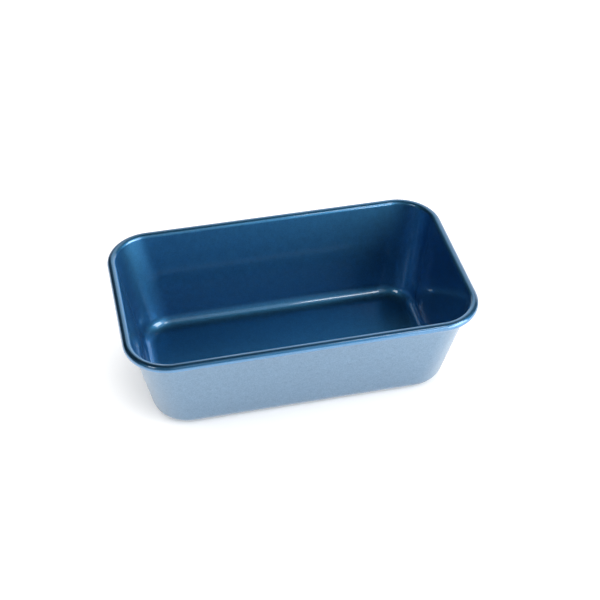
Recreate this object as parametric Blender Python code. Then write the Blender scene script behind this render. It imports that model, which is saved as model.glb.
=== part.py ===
"""Loaf pan: one drawn sheet of coated steel, with its edge rolled round a steel wire.

Metres, +Z up, +X along the pan. The origin is the middle of the underside.
Run it with blender --background --python part.py, or from Blender's text editor.
"""
import math

import bmesh
import bpy

# Driving dimensions. Lengths and widths are over the outside.
LENGTH = 0.240
WIDTH = 0.143
HEIGHT = 0.0743
SHEET = 0.0006
WIRE_RADIUS = 0.0021
WIRE_CLEARANCE = 0.0003         # between the wire and the sheet rolled round it
RIM_CORNER_RADIUS = 0.0306      # in plan, over the rolled rim
BASE_LENGTH = 0.2030            # where the outer walls, carried straight down, would meet the table
BASE_WIDTH = 0.1052
BASE_ROUNDING = 0.0120          # outer radius between the floor and the walls
FOOT_CORNER_RADIUS = 0.0254     # in plan, where a wall meets that rounding
CURL_END = math.radians(-135)   # where the rolled edge stops, seen from the wire; 0 points outward
WIRE_BUTT_GAP = 0.0008          # between the wire's two ends, in the middle of the back

# Facets
CORNER_STEPS = 10
ROUNDING_STEPS = 5
CURL_STEPS = 16
WIRE_BEVEL_RESOLUTION = 4

# Derived sizes of the rolled rim, whose middle is the wire's own middle
CURL_INSIDE = WIRE_RADIUS + WIRE_CLEARANCE
BEAD_RADIUS = CURL_INSIDE + SHEET
BEAD_HEIGHT = HEIGHT - BEAD_RADIUS

FLOOR_DIRECTION = math.radians(-90)


def arc(centre, radius, start, end, steps):
    """Points (distance out, height) along an arc in a wall's vertical plane."""
    points = []
    for step in range(steps + 1):
        angle = start + (end - start) * step / steps
        points.append((centre[0] + radius * math.cos(angle), centre[1] + radius * math.sin(angle)))
    return points


def wall_draft(rim_half, base_half):
    """How far a wall leans out, when its outer face runs from the base into the inside of the curl."""
    run = rim_half - BEAD_RADIUS - base_half
    return math.atan2(run, BEAD_HEIGHT) - math.asin(CURL_INSIDE / math.hypot(run, BEAD_HEIGHT))


def wall_profile(rim_half, base_half):
    """The sheet's section through one wall, from the floor over the rim and back to the underside.

    Each entry is (distance from the middle of the pan, height, distance to the corner's own centre).
    """
    draft = wall_draft(rim_half, base_half)
    bead = (rim_half - BEAD_RADIUS, BEAD_HEIGHT)
    inset = BASE_ROUNDING * (1 - math.sin(draft)) / math.cos(draft)
    bend = (base_half - inset, BASE_ROUNDING)
    foot_half = bend[0] + BASE_ROUNDING * math.cos(draft)
    foot_centre = foot_half - FOOT_CORNER_RADIUS
    rim_centre = rim_half - RIM_CORNER_RADIUS
    rim_start = math.pi - draft
    stretches = (
        (foot_centre, arc(bend, BASE_ROUNDING - SHEET, FLOOR_DIRECTION, -draft, ROUNDING_STEPS)),
        (rim_centre, arc(bead, BEAD_RADIUS, rim_start, CURL_END, CURL_STEPS)),
        (rim_centre, arc(bead, CURL_INSIDE, CURL_END, rim_start, CURL_STEPS)),
        (foot_centre, arc(bend, BASE_ROUNDING, -draft, FLOOR_DIRECTION, ROUNDING_STEPS)),
    )
    return [(half, height, centre) for centre, points in stretches for half, height in points]


def loop_round_pan(end, side):
    """One loop of points round the pan, through matching entries of the end's and the side's profiles."""
    end_half, end_height, end_centre = end
    side_half, side_height, side_centre = side
    points = []
    for quarter in range(4):
        sign_x = 1 if quarter in (0, 3) else -1
        sign_y = 1 if quarter in (0, 1) else -1
        for step in range(CORNER_STEPS + 1):
            turn = math.radians(90) * (quarter + step / CORNER_STEPS)
            along, across = math.cos(turn), math.sin(turn)
            x = sign_x * end_centre + (end_half - end_centre) * along
            y = sign_y * side_centre + (side_half - side_centre) * across
            z = end_height * along ** 2 + side_height * across ** 2
            points.append((x, y, z))
    return points


def coated_steel():
    """Blue metallic non-stick coating."""
    material = bpy.data.materials.new("coated_steel")
    material.use_nodes = True
    shader = material.node_tree.nodes["Principled BSDF"]
    shader.inputs["Base Color"].default_value = (0.16, 0.31, 0.47, 1.0)
    shader.inputs["Metallic"].default_value = 0.8
    shader.inputs["Roughness"].default_value = 0.35
    return material


def bare_steel():
    """Drawn steel wire."""
    material = bpy.data.materials.new("bare_steel")
    material.use_nodes = True
    shader = material.node_tree.nodes["Principled BSDF"]
    shader.inputs["Base Color"].default_value = (0.56, 0.57, 0.58, 1.0)
    shader.inputs["Metallic"].default_value = 1.0
    shader.inputs["Roughness"].default_value = 0.4
    return material


def make_pan_body(root):
    """The whole sheet: floor, rounded foot, leaning walls and the rim rolled outward and under."""
    ends = wall_profile(LENGTH / 2, BASE_LENGTH / 2)
    sides = wall_profile(WIDTH / 2, BASE_WIDTH / 2)
    bm = bmesh.new()
    loops = []
    for end, side in zip(ends, sides):
        loops.append([bm.verts.new(point) for point in loop_round_pan(end, side)])
    for lower, upper in zip(loops, loops[1:]):
        for i in range(len(lower)):
            bm.faces.new((lower[i - 1], lower[i], upper[i], upper[i - 1]))
    bm.faces.new(loops[0])
    bm.faces.new(loops[-1])
    bmesh.ops.recalc_face_normals(bm, faces=bm.faces)
    mesh = bpy.data.meshes.new("pan_body")
    bm.to_mesh(mesh)
    bm.free()
    mesh.shade_smooth()
    mesh.set_sharp_from_angle(angle=math.radians(40))
    mesh.materials.append(coated_steel())
    body = bpy.data.objects.new("pan_body", mesh)
    bpy.context.collection.objects.link(body)
    body.parent = root
    return body


def make_rim_wire(root):
    """The wire inside the rolled rim: one turn round the pan, with its two ends butted at the back."""
    end = (LENGTH / 2 - BEAD_RADIUS, 0.0, LENGTH / 2 - RIM_CORNER_RADIUS)
    side = (WIDTH / 2 - BEAD_RADIUS, 0.0, WIDTH / 2 - RIM_CORNER_RADIUS)
    turn = loop_round_pan(end, side)
    back_start = CORNER_STEPS + 1
    first = (-WIRE_BUTT_GAP / 2, side[0], 0.0)
    last = (WIRE_BUTT_GAP / 2, side[0], 0.0)
    path = [first] + turn[back_start:] + turn[:back_start] + [last]
    curve = bpy.data.curves.new("rim_wire", "CURVE")
    curve.dimensions = "3D"
    curve.twist_mode = "Z_UP"
    curve.bevel_depth = WIRE_RADIUS
    curve.bevel_resolution = WIRE_BEVEL_RESOLUTION
    curve.use_fill_caps = True
    spline = curve.splines.new("POLY")
    spline.points.add(len(path) - 1)
    for point, place in zip(spline.points, path):
        point.co = (*place, 1.0)
    spline.use_smooth = True
    curve.materials.append(bare_steel())
    wire = bpy.data.objects.new("rim_wire", curve)
    bpy.context.collection.objects.link(wire)
    wire.parent = root
    wire.location.z = BEAD_HEIGHT
    return wire


def main():
    for item in list(bpy.data.objects):
        bpy.data.objects.remove(item, do_unlink=True)
    root = bpy.data.objects.new("loaf_pan", None)
    bpy.context.collection.objects.link(root)
    make_pan_body(root)
    make_rim_wire(root)


main()
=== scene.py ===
"""Loaf pan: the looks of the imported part. Metres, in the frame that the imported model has."""

import math

import bmesh
import bpy
from mathutils import Matrix, Vector


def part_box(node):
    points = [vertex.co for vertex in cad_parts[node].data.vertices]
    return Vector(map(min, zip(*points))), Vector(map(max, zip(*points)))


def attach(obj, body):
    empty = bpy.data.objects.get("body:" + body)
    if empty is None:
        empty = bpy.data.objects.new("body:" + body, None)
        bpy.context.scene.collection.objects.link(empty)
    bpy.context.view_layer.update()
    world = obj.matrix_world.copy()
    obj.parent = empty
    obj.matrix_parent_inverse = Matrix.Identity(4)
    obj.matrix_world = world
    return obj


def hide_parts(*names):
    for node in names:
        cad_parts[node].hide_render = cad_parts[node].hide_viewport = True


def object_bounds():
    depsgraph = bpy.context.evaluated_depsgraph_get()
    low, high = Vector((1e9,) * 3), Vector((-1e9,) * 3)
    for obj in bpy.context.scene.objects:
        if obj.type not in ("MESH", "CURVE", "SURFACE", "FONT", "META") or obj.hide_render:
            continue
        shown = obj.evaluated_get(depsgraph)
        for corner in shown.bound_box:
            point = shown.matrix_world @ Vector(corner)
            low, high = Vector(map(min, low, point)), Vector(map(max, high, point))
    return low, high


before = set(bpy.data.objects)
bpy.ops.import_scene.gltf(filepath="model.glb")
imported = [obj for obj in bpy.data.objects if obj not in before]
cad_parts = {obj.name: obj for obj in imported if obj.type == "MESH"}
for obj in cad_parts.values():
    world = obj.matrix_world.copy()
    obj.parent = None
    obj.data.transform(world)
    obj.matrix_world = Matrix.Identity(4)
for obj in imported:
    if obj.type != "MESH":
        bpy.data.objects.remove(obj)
cad_low, cad_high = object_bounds()
pan_low, pan_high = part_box("pan_body")

# The pan's own sizes. Its length, width and height are those of the CAD node.
LENGTH = pan_high.x - pan_low.x
WIDTH = pan_high.y - pan_low.y
HEIGHT = pan_high.z
SHEET = 0.0006
WIRE_RADIUS = 0.0021
WIRE_CLEARANCE = 0.0003         # between the wire and the sheet rolled round it
RIM_CORNER_RADIUS = 0.0306      # in plan, over the rolled rim
BASE_LENGTH = 0.2030            # where the outer walls, carried straight down, would meet the table
BASE_WIDTH = 0.1052
BASE_ROUNDING = 0.0120          # outer radius between the floor and the walls
FOOT_CORNER_RADIUS = 0.0254     # in plan, where a wall meets that rounding
CURL_END = math.radians(-135)   # where the rolled edge stops, seen from the wire; 0 points outward
WIRE_BUTT_GAP = 0.0008          # between the wire's two ends, in the middle of the back

CURL_INSIDE = WIRE_RADIUS + WIRE_CLEARANCE
BEAD_RADIUS = CURL_INSIDE + SHEET
BEAD_HEIGHT = HEIGHT - BEAD_RADIUS

# How finely the curved stretches are cut
CORNER_STEPS = 36
ROUNDING_STEPS = 24
CURL_STEPS = 48
EDGE_STEPS = 6
WIRE_BEVEL_RESOLUTION = 6
WALL_ROWS = (0.008, 0.04, 0.2, 0.4, 0.6, 0.8, 0.96, 0.992)   # shares of the wall's height
GUARD = 0.0012                  # a row this far from a bend keeps the flat beside it flat
CORNER_POINTS = CORNER_STEPS + 3    # one corner of a loop, with the guard point at each end

FLOOR_DIRECTION = math.radians(-90)

# Material numbers: the inside up to the top of the rim, the rim's outer half (the inside's coating painted
# darker, as painted shade), and the outer face
INSIDE = 0
RIM = 1
OUTSIDE = 2

# The rows of faces at which the curl and the rim's darker, painted-shade finish start, and where that
# finish ends. The rows
# are counted from the middle of the floor: a guard row, the rounding, and the wall up to the curl.
STEPS_TO_RIM_TOP = 13           # of the curl's steps, those before its highest point
CURL_ROW = 1 + ROUNDING_STEPS + len(WALL_ROWS) + 1
RIM_START_ROW = CURL_ROW + STEPS_TO_RIM_TOP
RIM_END_ROW = CURL_ROW + CURL_STEPS + EDGE_STEPS // 2

# The grain of the finishes. Sizes and heights are in metres.
FLAKE_SIZE = 0.0009
CLOUD_SIZE = 0.0035
PEEL_SIZE = 0.0012
PEEL_HEIGHT = 0.00001
FLAKE_SHARE = 0.6               # of the colour's variation; the clouds make the rest
FLAKE_RELIEF = 0.15             # of the peel's relief
ROUGHNESS_SWING = 0.03          # up and down from a finish's own roughness
WIRE_PATCH_SIZE = 0.006
WIRE_GRAIN_SIZE = 0.0003
WIRE_GRAIN_HEIGHT = 0.000005

# The stretch of a noise texture's values that a finish uses. Values past its ends count as the ends.
NOISE_LOW = 0.3
NOISE_HIGH = 0.7

# The camera, and where it stands
CAMERA_LENS = 80.6              # millimetres
CAMERA_SENSOR = 36.0            # millimetres
CAMERA_NEAR = 0.01
CAMERA_FAR = 60.0
CAMERA_TURN = -12.92            # degrees from the front; less than 0 is to the left
CAMERA_LIFT = 41.2              # degrees
CAMERA_ROLL = math.radians(0.25)
CAMERA_DISTANCE = 0.954
CAMERA_AIM = Vector((0.0109, 0.0164, 0.0))  # from the middle of the pan's box

# The table, and the even light of the room and the fill
TABLE_HALF = 12.0
TABLE_GAP = 0.0001              # between the table and the pan
TABLE_PATCH_SIZE = 0.2
ROOM_STRENGTH = 1.05
FILL_STRENGTH = 1.4
FILL_SPREAD = math.radians(120)
FILL_TILT = (math.radians(10), math.radians(-25), 0)
GLOSSY_BOUNCES = 8

# The soft lights, all at one distance from the middle of the pan's box: name, turn to the right of the
# front, lift, width and height in degrees, brightness
SOFTBOX_DISTANCE = 1.1
SOFTBOXES = (
    ("main_low", 46, 8, 44, 12, 4.9),
    ("main_high", 42, 20, 48, 12, 6.0),
    ("main_core", 54, 35, 21, 18, 4.6),
    ("main_top", 44, 33, 30, 12, 0.9),
    ("high", 32, 50, 60, 24, 0.42),
    ("key", 25, 50, 10, 5, 7.6),
    ("left_low", -36, 13, 14, 12, 0.1),
    ("left_key", -55, 38, 14, 13, 4.0),
    ("back_right", 148, 16, 56, 28, 1.2),
    ("back", 190, 16, 30, 28, 0.6),
    ("back_top", 158, 46, 44, 34, 0.7),
)


# ---------------------------------------------------------------- shape

def arc(centre, radius, start, end, steps):
    """Points (distance out, height) along an arc in a wall's vertical plane."""
    points = []
    for step in range(steps + 1):
        angle = start + (end - start) * step / steps
        points.append((centre[0] + radius * math.cos(angle), centre[1] + radius * math.sin(angle)))
    return points


def wall_draft(rim_half, base_half):
    """How far a wall leans out, when its outer face runs from the base into the inside of the curl."""
    run = rim_half - BEAD_RADIUS - base_half
    return math.atan2(run, BEAD_HEIGHT) - math.asin(CURL_INSIDE / math.hypot(run, BEAD_HEIGHT))


def between(first, last, share):
    """The entry at a share of the way from one profile entry to another."""
    return tuple(a + (b - a) * share for a, b in zip(first, last))


def wall_profile(rim_half, base_half):
    """The sheet's section through one wall, from the floor over the rim and back to the underside.

    Each entry is (distance from the middle of the pan, height, distance to the corner's own centre).
    """
    draft = wall_draft(rim_half, base_half)
    bead = (rim_half - BEAD_RADIUS, BEAD_HEIGHT)
    inset = BASE_ROUNDING * (1 - math.sin(draft)) / math.cos(draft)
    bend = (base_half - inset, BASE_ROUNDING)
    foot_half = bend[0] + BASE_ROUNDING * math.cos(draft)
    foot_centre = foot_half - FOOT_CORNER_RADIUS
    rim_centre = rim_half - RIM_CORNER_RADIUS
    rim_start = math.pi - draft
    edge_radius = SHEET / 2
    edge_reach = CURL_INSIDE + edge_radius
    edge = (bead[0] + edge_reach * math.cos(CURL_END), bead[1] + edge_reach * math.sin(CURL_END))

    def foot(points):
        return [(half, height, foot_centre) for half, height in points]

    def rim(points):
        return [(half, height, rim_centre) for half, height in points]

    floor_bend = foot(arc(bend, BASE_ROUNDING - SHEET, FLOOR_DIRECTION, -draft, ROUNDING_STEPS))
    over = rim(arc(bead, BEAD_RADIUS, rim_start, CURL_END, CURL_STEPS))
    cut_edge = rim(arc(edge, edge_radius, CURL_END, CURL_END - math.pi, EDGE_STEPS))[1:-1]
    back = rim(arc(bead, CURL_INSIDE, CURL_END, rim_start, CURL_STEPS))
    under_bend = foot(arc(bend, BASE_ROUNDING, -draft, FLOOR_DIRECTION, ROUNDING_STEPS))
    inner_wall = [between(floor_bend[-1], over[0], share) for share in WALL_ROWS]
    outer_wall = [between(back[-1], under_bend[0], share) for share in WALL_ROWS]
    return floor_bend + inner_wall + over + cut_edge + back + outer_wall + under_bend


def loop_round_pan(end, side):
    """One loop of points round the pan, through matching entries of the end's and the side's profiles."""
    end_half, end_height, end_centre = end
    side_half, side_height, side_centre = side
    points = []
    for quarter in range(4):
        sign_x = 1 if quarter in (0, 3) else -1
        sign_y = 1 if quarter in (0, 1) else -1
        corner = []
        for step in range(CORNER_STEPS + 1):
            turn = math.radians(90) * (quarter + step / CORNER_STEPS)
            along, across = math.cos(turn), math.sin(turn)
            x = sign_x * end_centre + (end_half - end_centre) * along
            y = sign_y * side_centre + (side_half - side_centre) * across
            z = end_height * along ** 2 + side_height * across ** 2
            corner.append(Vector((x, y, z)))
        lead = Vector((0, -sign_y, 0)) if quarter in (0, 2) else Vector((-sign_x, 0, 0))
        trail = Vector((-sign_x, 0, 0)) if quarter in (0, 2) else Vector((0, -sign_y, 0))
        points += [corner[0] + lead * GUARD] + corner + [corner[-1] + trail * GUARD]
    return points


def scaled_in(points, distance):
    """The same loop, each straight side moved in by a distance."""
    long_half = max(point.x for point in points)
    wide_half = max(point.y for point in points)
    factor = Matrix.Diagonal(((long_half - distance) / long_half, (wide_half - distance) / wide_half, 1.0))
    return [factor @ point for point in points]


def finish_of_row(row):
    """The material number of one row of faces."""
    if row < RIM_START_ROW:
        return INSIDE
    return RIM if row < RIM_END_ROW else OUTSIDE


def make_pan():
    """The whole sheet, drawn in one piece, with its rim rolled outward and under."""
    ends = wall_profile(LENGTH / 2, BASE_LENGTH / 2)
    sides = wall_profile(WIDTH / 2, BASE_WIDTH / 2)
    outlines = [loop_round_pan(end, side) for end, side in zip(ends, sides)]
    outlines.insert(0, scaled_in(outlines[0], GUARD))
    outlines.append(scaled_in(outlines[-1], GUARD))
    bm = bmesh.new()
    loops = [[bm.verts.new(point) for point in outline] for outline in outlines]
    for row, (lower, upper) in enumerate(zip(loops, loops[1:])):
        for i in range(len(lower)):
            face = bm.faces.new((lower[i - 1], lower[i], upper[i], upper[i - 1]))
            face.material_index = finish_of_row(row)
    bm.faces.new(loops[0]).material_index = INSIDE
    bm.faces.new(loops[-1]).material_index = OUTSIDE
    bmesh.ops.recalc_face_normals(bm, faces=bm.faces)
    mesh = bpy.data.meshes.new("pan")
    bm.to_mesh(mesh)
    bm.free()
    mesh.shade_smooth()
    pan = bpy.data.objects.new("pan", mesh)
    bpy.context.collection.objects.link(pan)
    return pan


def make_wire():
    """The wire in the rolled rim: one turn round the pan, its two ends butted at the back."""
    end = (LENGTH / 2 - BEAD_RADIUS, BEAD_HEIGHT, LENGTH / 2 - RIM_CORNER_RADIUS)
    side = (WIDTH / 2 - BEAD_RADIUS, BEAD_HEIGHT, WIDTH / 2 - RIM_CORNER_RADIUS)
    turn = loop_round_pan(end, side)
    first = Vector((-WIRE_BUTT_GAP / 2, side[0], BEAD_HEIGHT))
    last = Vector((WIRE_BUTT_GAP / 2, side[0], BEAD_HEIGHT))
    path = [first] + turn[CORNER_POINTS:] + turn[:CORNER_POINTS] + [last]
    curve = bpy.data.curves.new("wire", "CURVE")
    curve.dimensions = "3D"
    curve.twist_mode = "Z_UP"
    curve.bevel_depth = WIRE_RADIUS
    curve.bevel_resolution = WIRE_BEVEL_RESOLUTION
    curve.use_fill_caps = True
    spline = curve.splines.new("POLY")
    spline.points.add(len(path) - 1)
    for point, place in zip(spline.points, path):
        point.co = (*place, 1.0)
    spline.use_smooth = True
    wire = bpy.data.objects.new("wire", curve)
    bpy.context.collection.objects.link(wire)
    return wire


# ------------------------------------------------------------ materials

def new_material(name):
    """A node material; returns it with its tree and its Principled shader."""
    material = bpy.data.materials.new(name)
    material.use_nodes = True
    tree = material.node_tree
    return material, tree, tree.nodes["Principled BSDF"]


def noise(tree, place, size, detail=2.0, roughness=0.5):
    """A noise texture whose features are about the given size in metres. Returns its value."""
    node = tree.nodes.new("ShaderNodeTexNoise")
    node.inputs["Scale"].default_value = 1.0 / size
    node.inputs["Detail"].default_value = detail
    node.inputs["Roughness"].default_value = roughness
    tree.links.new(place, node.inputs["Vector"])
    return node.outputs["Fac"]


def spread(tree, value, new_low, new_high, low=NOISE_LOW, high=NOISE_HIGH):
    """Maps a stretch of a noise's values to a new range, and holds it at the ends."""
    node = tree.nodes.new("ShaderNodeMapRange")
    node.inputs["From Min"].default_value = low
    node.inputs["From Max"].default_value = high
    node.inputs["To Min"].default_value = new_low
    node.inputs["To Max"].default_value = new_high
    tree.links.new(value, node.inputs["Value"])
    return node.outputs["Result"]


def combine(tree, operation, first, second):
    """Adds or multiplies two values; the second may be a plain number."""
    node = tree.nodes.new("ShaderNodeMath")
    node.operation = operation
    tree.links.new(first, node.inputs[0])
    if isinstance(second, (int, float)):
        node.inputs[1].default_value = second
    else:
        tree.links.new(second, node.inputs[1])
    return node.outputs["Value"]


def bump(tree, height, distance):
    """A bump of the given height in metres. Returns the new normal."""
    node = tree.nodes.new("ShaderNodeBump")
    node.inputs["Strength"].default_value = 1.0
    node.inputs["Distance"].default_value = distance
    tree.links.new(height, node.inputs["Height"])
    return node.outputs["Normal"]


def tint(tree, dark, light, share):
    """A colour between two, by a share from 0 to 1."""
    node = tree.nodes.new("ShaderNodeMix")
    node.data_type = "RGBA"
    node.inputs["A"].default_value = (*dark, 1.0)
    node.inputs["B"].default_value = (*light, 1.0)
    tree.links.new(share, node.inputs["Factor"])
    return node.outputs["Result"]


def coated_steel(name, dark, light, roughness, coat_roughness, coat_ior):
    """Metallic non-stick coating: fine flake under a clear layer, very lightly pebbled."""
    material, tree, shader = new_material(name)
    place = tree.nodes.new("ShaderNodeTexCoord").outputs["Object"]
    flake = noise(tree, place, FLAKE_SIZE, detail=1.0)
    cloud = noise(tree, place, CLOUD_SIZE, detail=3.0, roughness=0.6)
    peel = noise(tree, place, PEEL_SIZE, detail=1.0)
    flake_share = spread(tree, flake, 0.0, FLAKE_SHARE)
    cloud_share = spread(tree, cloud, 0.0, 1.0 - FLAKE_SHARE)
    share = combine(tree, "ADD", flake_share, cloud_share)
    tree.links.new(tint(tree, dark, light, share), shader.inputs["Base Color"])
    rough = spread(tree, cloud, roughness - ROUGHNESS_SWING, roughness + ROUGHNESS_SWING)
    tree.links.new(rough, shader.inputs["Roughness"])
    height = combine(tree, "ADD", peel, combine(tree, "MULTIPLY", flake, FLAKE_RELIEF))
    normal = bump(tree, height, PEEL_HEIGHT)
    tree.links.new(normal, shader.inputs["Normal"])
    tree.links.new(normal, shader.inputs["Coat Normal"])
    shader.inputs["Metallic"].default_value = 1.0
    shader.inputs["Coat Weight"].default_value = 1.0
    shader.inputs["Coat Roughness"].default_value = coat_roughness
    shader.inputs["Coat IOR"].default_value = coat_ior
    return material


def inside_coating():
    """Deep blue and smooth, on the inside and up to the top of the rim."""
    dark, light = (0.058, 0.252, 0.487), (0.077, 0.334, 0.632)
    return coated_steel("inside_coating", dark, light, roughness=0.46, coat_roughness=0.05, coat_ior=1.8)


def rim_painted_shade_coating():
    """The inside's coating where the rim is rolled outward, painted a little darker: painted shade that
    dims the reflections on the bead's outer and lower side.
    """
    # the same blue as the inside, darkened as painted shade over the bead's rolled-over half
    dark, light = (0.046, 0.18, 0.36), (0.061, 0.24, 0.47)
    return coated_steel("rim_painted_shade_coating", dark, light, roughness=0.46, coat_roughness=0.05, coat_ior=1.8)


def outside_coating():
    """Paler and more silvery, on the outer walls and the underside."""
    dark, light = (0.138, 0.233, 0.336), (0.2, 0.331, 0.472)
    return coated_steel("outside_coating", dark, light, roughness=0.54, coat_roughness=0.24, coat_ior=1.5)


def bare_steel():
    """Drawn steel wire, with faint dull patches from handling."""
    material, tree, shader = new_material("wire_steel")
    place = tree.nodes.new("ShaderNodeTexCoord").outputs["Object"]
    patches = noise(tree, place, WIRE_PATCH_SIZE, detail=3.0)
    grain = noise(tree, place, WIRE_GRAIN_SIZE)
    share = spread(tree, patches, 0.0, 1.0, low=0.35, high=0.65)
    colour = tint(tree, (0.46, 0.47, 0.48), (0.60, 0.61, 0.62), share)
    tree.links.new(colour, shader.inputs["Base Color"])
    tree.links.new(spread(tree, grain, 0.28, 0.42), shader.inputs["Roughness"])
    tree.links.new(bump(tree, grain, WIRE_GRAIN_HEIGHT), shader.inputs["Normal"])
    shader.inputs["Metallic"].default_value = 1.0
    return material


def matte_white():
    """The pale table, very slightly uneven."""
    material, tree, shader = new_material("table")
    place = tree.nodes.new("ShaderNodeTexCoord").outputs["Object"]
    share = spread(tree, noise(tree, place, TABLE_PATCH_SIZE), 0.0, 1.0)
    colour = tint(tree, (0.84, 0.84, 0.84), (0.86, 0.86, 0.86), share)
    tree.links.new(colour, shader.inputs["Base Color"])
    shader.inputs["Roughness"].default_value = 0.9
    shader.inputs["Specular IOR Level"].default_value = 0.1
    return material


# --------------------------------------------------------- studio

def make_table():
    """A wide flat table under the pan."""
    corners = [(x * TABLE_HALF, y * TABLE_HALF, 0) for x, y in ((-1, -1), (1, -1), (1, 1), (-1, 1))]
    mesh = bpy.data.meshes.new("table")
    mesh.from_pydata(corners, [], [(0, 1, 2, 3)])
    mesh.materials.append(matte_white())
    table = bpy.data.objects.new("table", mesh)
    bpy.context.collection.objects.link(table)
    table.location.z = cad_low.z - TABLE_GAP
    return table


def direction(turn, lift):
    """A unit vector. A turn of 0 is the front, -Y, and a positive turn goes to the right."""
    turn, lift = math.radians(turn), math.radians(lift)
    return Vector((math.sin(turn) * math.cos(lift), -math.cos(turn) * math.cos(lift), math.sin(lift)))


def make_softbox(name, turn, lift, wide, tall, brightness):
    """A rectangular soft light aimed at the pan, as wide and tall as the given angles seen from there.

    Its power follows its area, so that its brightness is the one given, whatever its size.
    """
    light = bpy.data.lights.new(name, "AREA")
    light.shape = "RECTANGLE"
    light.size = 2 * SOFTBOX_DISTANCE * math.tan(math.radians(wide) / 2)
    light.size_y = 2 * SOFTBOX_DISTANCE * math.tan(math.radians(tall) / 2)
    light.energy = brightness * math.pi * light.size * light.size_y
    lamp = bpy.data.objects.new(name, light)
    bpy.context.collection.objects.link(lamp)
    toward = direction(turn, lift)
    lamp.location = (cad_low + cad_high) / 2 + toward * SOFTBOX_DISTANCE
    lamp.rotation_euler = toward.to_track_quat("Z", "Y").to_euler()
    lamp.visible_camera = False
    return lamp


def make_fill():
    """Soft light from the upper left, so that the table stays pale there; it isn't seen in the gloss."""
    light = bpy.data.lights.new("fill", "SUN")
    light.energy = FILL_STRENGTH
    light.angle = FILL_SPREAD
    lamp = bpy.data.objects.new("fill", light)
    bpy.context.collection.objects.link(lamp)
    lamp.rotation_euler = FILL_TILT
    lamp.visible_glossy = False
    return lamp


def make_room():
    """An even, pale room all round; it lights the table and isn't seen in the gloss."""
    world = bpy.data.worlds.new("room")
    bpy.context.scene.world = world
    world.use_nodes = True
    background = world.node_tree.nodes["Background"]
    background.inputs["Color"].default_value = (1.0, 1.0, 1.0, 1.0)
    background.inputs["Strength"].default_value = ROOM_STRENGTH
    world.cycles_visibility.glossy = False
    return world


def make_camera():
    """The camera at the viewing angle, with its small roll."""
    camera = bpy.data.cameras.new("camera")
    camera.lens = CAMERA_LENS
    camera.sensor_width = CAMERA_SENSOR
    camera.clip_start = CAMERA_NEAR
    camera.clip_end = CAMERA_FAR
    viewer = bpy.data.objects.new("camera", camera)
    bpy.context.collection.objects.link(viewer)
    toward = direction(CAMERA_TURN, CAMERA_LIFT)
    aim = (cad_low + cad_high) / 2 + CAMERA_AIM
    turn = toward.to_track_quat("Z", "Y").to_matrix() @ Matrix.Rotation(CAMERA_ROLL, 3, "Z")
    viewer.matrix_world = Matrix.Translation(aim + toward * CAMERA_DISTANCE) @ turn.to_4x4()
    bpy.context.scene.camera = viewer
    return viewer


def make_object():
    """The pan and its wire, each in place of its CAD node."""
    pan = make_pan()
    pan.data.materials.append(inside_coating())
    pan.data.materials.append(rim_painted_shade_coating())
    pan.data.materials.append(outside_coating())
    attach(pan, "root")
    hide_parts("pan_body")
    wire = make_wire()
    wire.data.materials.append(bare_steel())
    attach(wire, "root")
    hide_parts("rim_wire")


def make_studio():
    """Table, lights and camera, and how light is traced and shown."""
    make_table()
    make_room()
    for name, turn, lift, wide, tall, brightness in SOFTBOXES:
        make_softbox(name, turn, lift, wide, tall, brightness)
    make_fill()
    make_camera()
    bpy.context.scene.view_settings.view_transform = "Standard"
    bpy.context.scene.cycles.glossy_bounces = GLOSSY_BOUNCES


make_object()
make_studio()
